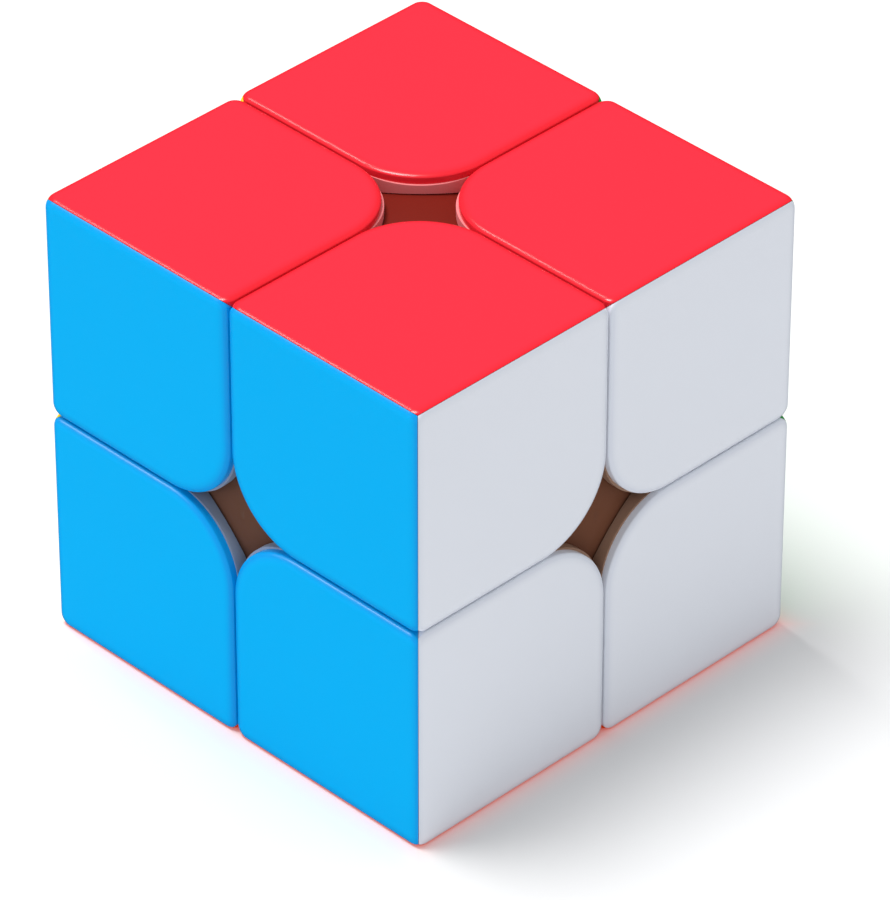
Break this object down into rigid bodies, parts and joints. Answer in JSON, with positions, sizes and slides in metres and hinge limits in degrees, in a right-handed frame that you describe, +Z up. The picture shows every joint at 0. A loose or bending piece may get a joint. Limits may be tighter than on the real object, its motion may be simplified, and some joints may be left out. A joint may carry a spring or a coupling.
{
  "type": "twisty puzzle cube",
  "caption": "Two-layer twisty puzzle cube with mitred coloured corner caps, a window at the middle of each face and a hidden sprung ball mechanism that lets every face turn.",
  "frame": {"origin": "centre of the cube, where the six turning axes meet", "axes": "+Z up through the red face, -Y through the blue face, +X through the white face; each face turns about the row axis it faces along"},
  "size_m": [0.05, 0.05, 0.05],
  "materials": {
    "red_plastic": "satin moulded, coloured through",
    "orange_plastic": "satin moulded, coloured through",
    "blue_plastic": "satin moulded, coloured through",
    "green_plastic": "satin moulded, coloured through",
    "white_plastic": "satin moulded, coloured through",
    "yellow_plastic": "satin moulded, coloured through",
    "base_plastic": "fine satin, off-white",
    "inner_plastic": "satin, dark brown",
    "core_plastic": "fine satin, off-white",
    "screw_steel": "zinc plated",
    "spring_steel": "bright spring wire",
    "washer_steel": "zinc plated"
  },
  "bodies": {
    "core": {"core": "core_plastic", "tension_screws": "screw_steel", "springs": "spring_steel", "washers": "washer_steel"},
    "centre_up": {"centre_up": "inner_plastic", "centre_up_cap": "inner_plastic"},
    "centre_down": {"centre_down": "inner_plastic", "centre_down_cap": "inner_plastic"},
    "centre_front": {"centre_front": "inner_plastic", "centre_front_cap": "inner_plastic"},
    "centre_back": {"centre_back": "inner_plastic", "centre_back_cap": "inner_plastic"},
    "centre_right": {"centre_right": "inner_plastic", "centre_right_cap": "inner_plastic"},
    "centre_left": {"centre_left": "inner_plastic", "centre_left_cap": "inner_plastic"},
    "edge_up_front": {"edge_up_front": "inner_plastic"},
    "edge_up_back": {"edge_up_back": "inner_plastic"},
    "edge_down_front": {"edge_down_front": "inner_plastic"},
    "edge_down_back": {"edge_down_back": "inner_plastic"},
    "edge_up_right": {"edge_up_right": "inner_plastic"},
    "edge_up_left": {"edge_up_left": "inner_plastic"},
    "edge_down_right": {"edge_down_right": "inner_plastic"},
    "edge_down_left": {"edge_down_left": "inner_plastic"},
    "edge_front_right": {"edge_front_right": "inner_plastic"},
    "edge_front_left": {"edge_front_left": "inner_plastic"},
    "edge_back_right": {"edge_back_right": "inner_plastic"},
    "edge_back_left": {"edge_back_left": "inner_plastic"},
    "corner_up_front_right": {"corner_up_front_right_base": "base_plastic", "corner_up_front_right_red_cap": "red_plastic", "corner_up_front_right_blue_cap": "blue_plastic", "corner_up_front_right_white_cap": "white_plastic"},
    "corner_up_front_left": {"corner_up_front_left_base": "base_plastic", "corner_up_front_left_red_cap": "red_plastic", "corner_up_front_left_blue_cap": "blue_plastic", "corner_up_front_left_yellow_cap": "yellow_plastic"},
    "corner_up_back_right": {"corner_up_back_right_base": "base_plastic", "corner_up_back_right_red_cap": "red_plastic", "corner_up_back_right_green_cap": "green_plastic", "corner_up_back_right_white_cap": "white_plastic"},
    "corner_up_back_left": {"corner_up_back_left_base": "base_plastic", "corner_up_back_left_red_cap": "red_plastic", "corner_up_back_left_green_cap": "green_plastic", "corner_up_back_left_yellow_cap": "yellow_plastic"},
    "corner_down_front_right": {"corner_down_front_right_base": "base_plastic", "corner_down_front_right_orange_cap": "orange_plastic", "corner_down_front_right_blue_cap": "blue_plastic", "corner_down_front_right_white_cap": "white_plastic"},
    "corner_down_front_left": {"corner_down_front_left_base": "base_plastic", "corner_down_front_left_orange_cap": "orange_plastic", "corner_down_front_left_blue_cap": "blue_plastic", "corner_down_front_left_yellow_cap": "yellow_plastic"},
    "corner_down_back_right": {"corner_down_back_right_base": "base_plastic", "corner_down_back_right_orange_cap": "orange_plastic", "corner_down_back_right_green_cap": "green_plastic", "corner_down_back_right_white_cap": "white_plastic"},
    "corner_down_back_left": {"corner_down_back_left_base": "base_plastic", "corner_down_back_left_orange_cap": "orange_plastic", "corner_down_back_left_green_cap": "green_plastic", "corner_down_back_left_yellow_cap": "yellow_plastic"}
  },
  "joints": [
    {"name": "up_turn", "type": "hinge", "parent": "core", "child": "centre_up", "pos_m": [0, 0, 0], "axis": [0, 0, 1], "continuous": true},
    {"name": "down_turn", "type": "hinge", "parent": "core", "child": "centre_down", "pos_m": [0, 0, 0], "axis": [0, 0, 1], "continuous": true},
    {"name": "front_turn", "type": "hinge", "parent": "core", "child": "centre_front", "pos_m": [0, 0, 0], "axis": [0, 1, 0], "continuous": true},
    {"name": "back_turn", "type": "hinge", "parent": "core", "child": "centre_back", "pos_m": [0, 0, 0], "axis": [0, 1, 0], "continuous": true},
    {"name": "right_turn", "type": "hinge", "parent": "core", "child": "centre_right", "pos_m": [0, 0, 0], "axis": [1, 0, 0], "continuous": true},
    {"name": "left_turn", "type": "hinge", "parent": "core", "child": "centre_left", "pos_m": [0, 0, 0], "axis": [1, 0, 0], "continuous": true},
    {"name": "edge_up_front_front_turn", "type": "hinge", "parent": "centre_up", "child": "edge_up_front", "pos_m": [0, 0, 0], "axis": [0, 1, 0], "continuous": true},
    {"name": "edge_up_back_back_turn", "type": "hinge", "parent": "centre_up", "child": "edge_up_back", "pos_m": [0, 0, 0], "axis": [0, 1, 0], "continuous": true},
    {"name": "edge_down_front_front_turn", "type": "hinge", "parent": "centre_down", "child": "edge_down_front", "pos_m": [0, 0, 0], "axis": [0, 1, 0], "continuous": true},
    {"name": "edge_down_back_back_turn", "type": "hinge", "parent": "centre_down", "child": "edge_down_back", "pos_m": [0, 0, 0], "axis": [0, 1, 0], "continuous": true},
    {"name": "edge_up_right_up_turn", "type": "hinge", "parent": "centre_right", "child": "edge_up_right", "pos_m": [0, 0, 0], "axis": [0, 0, 1], "continuous": true},
    {"name": "edge_up_left_up_turn", "type": "hinge", "parent": "centre_left", "child": "edge_up_left", "pos_m": [0, 0, 0], "axis": [0, 0, 1], "continuous": true},
    {"name": "edge_down_right_down_turn", "type": "hinge", "parent": "centre_right", "child": "edge_down_right", "pos_m": [0, 0, 0], "axis": [0, 0, 1], "continuous": true},
    {"name": "edge_down_left_down_turn", "type": "hinge", "parent": "centre_left", "child": "edge_down_left", "pos_m": [0, 0, 0], "axis": [0, 0, 1], "continuous": true},
    {"name": "edge_front_right_right_turn", "type": "hinge", "parent": "centre_front", "child": "edge_front_right", "pos_m": [0, 0, 0], "axis": [1, 0, 0], "continuous": true},
    {"name": "edge_front_left_left_turn", "type": "hinge", "parent": "centre_front", "child": "edge_front_left", "pos_m": [0, 0, 0], "axis": [1, 0, 0], "continuous": true},
    {"name": "edge_back_right_right_turn", "type": "hinge", "parent": "centre_back", "child": "edge_back_right", "pos_m": [0, 0, 0], "axis": [1, 0, 0], "continuous": true},
    {"name": "edge_back_left_left_turn", "type": "hinge", "parent": "centre_back", "child": "edge_back_left", "pos_m": [0, 0, 0], "axis": [1, 0, 0], "continuous": true},
    {"name": "corner_up_front_right_right_turn", "type": "hinge", "parent": "edge_up_front", "child": "corner_up_front_right", "pos_m": [0, 0, 0], "axis": [1, 0, 0], "continuous": true},
    {"name": "corner_up_front_left_left_turn", "type": "hinge", "parent": "edge_up_front", "child": "corner_up_front_left", "pos_m": [0, 0, 0], "axis": [1, 0, 0], "continuous": true},
    {"name": "corner_up_back_right_right_turn", "type": "hinge", "parent": "edge_up_back", "child": "corner_up_back_right", "pos_m": [0, 0, 0], "axis": [1, 0, 0], "continuous": true},
    {"name": "corner_up_back_left_left_turn", "type": "hinge", "parent": "edge_up_back", "child": "corner_up_back_left", "pos_m": [0, 0, 0], "axis": [1, 0, 0], "continuous": true},
    {"name": "corner_down_front_right_right_turn", "type": "hinge", "parent": "edge_down_front", "child": "corner_down_front_right", "pos_m": [0, 0, 0], "axis": [1, 0, 0], "continuous": true},
    {"name": "corner_down_front_left_left_turn", "type": "hinge", "parent": "edge_down_front", "child": "corner_down_front_left", "pos_m": [0, 0, 0], "axis": [1, 0, 0], "continuous": true},
    {"name": "corner_down_back_right_right_turn", "type": "hinge", "parent": "edge_down_back", "child": "corner_down_back_right", "pos_m": [0, 0, 0], "axis": [1, 0, 0], "continuous": true},
    {"name": "corner_down_back_left_left_turn", "type": "hinge", "parent": "edge_down_back", "child": "corner_down_back_left", "pos_m": [0, 0, 0], "axis": [1, 0, 0], "continuous": true}
  ],
  "couplings": [
    {"joint": "edge_up_front_front_turn", "follows": "front_turn", "ratio": 1},
    {"joint": "edge_up_back_back_turn", "follows": "back_turn", "ratio": 1},
    {"joint": "edge_down_front_front_turn", "follows": "front_turn", "ratio": 1},
    {"joint": "edge_down_back_back_turn", "follows": "back_turn", "ratio": 1},
    {"joint": "edge_up_right_up_turn", "follows": "up_turn", "ratio": 1},
    {"joint": "edge_up_left_up_turn", "follows": "up_turn", "ratio": 1},
    {"joint": "edge_down_right_down_turn", "follows": "down_turn", "ratio": 1},
    {"joint": "edge_down_left_down_turn", "follows": "down_turn", "ratio": 1},
    {"joint": "edge_front_right_right_turn", "follows": "right_turn", "ratio": 1},
    {"joint": "edge_front_left_left_turn", "follows": "left_turn", "ratio": 1},
    {"joint": "edge_back_right_right_turn", "follows": "right_turn", "ratio": 1},
    {"joint": "edge_back_left_left_turn", "follows": "left_turn", "ratio": 1},
    {"joint": "corner_up_front_right_right_turn", "follows": "right_turn", "ratio": 1},
    {"joint": "corner_up_front_left_left_turn", "follows": "left_turn", "ratio": 1},
    {"joint": "corner_up_back_right_right_turn", "follows": "right_turn", "ratio": 1},
    {"joint": "corner_up_back_left_left_turn", "follows": "left_turn", "ratio": 1},
    {"joint": "corner_down_front_right_right_turn", "follows": "right_turn", "ratio": 1},
    {"joint": "corner_down_front_left_left_turn", "follows": "left_turn", "ratio": 1},
    {"joint": "corner_down_back_right_right_turn", "follows": "right_turn", "ratio": 1},
    {"joint": "corner_down_back_left_left_turn", "follows": "left_turn", "ratio": 1}
  ]
}
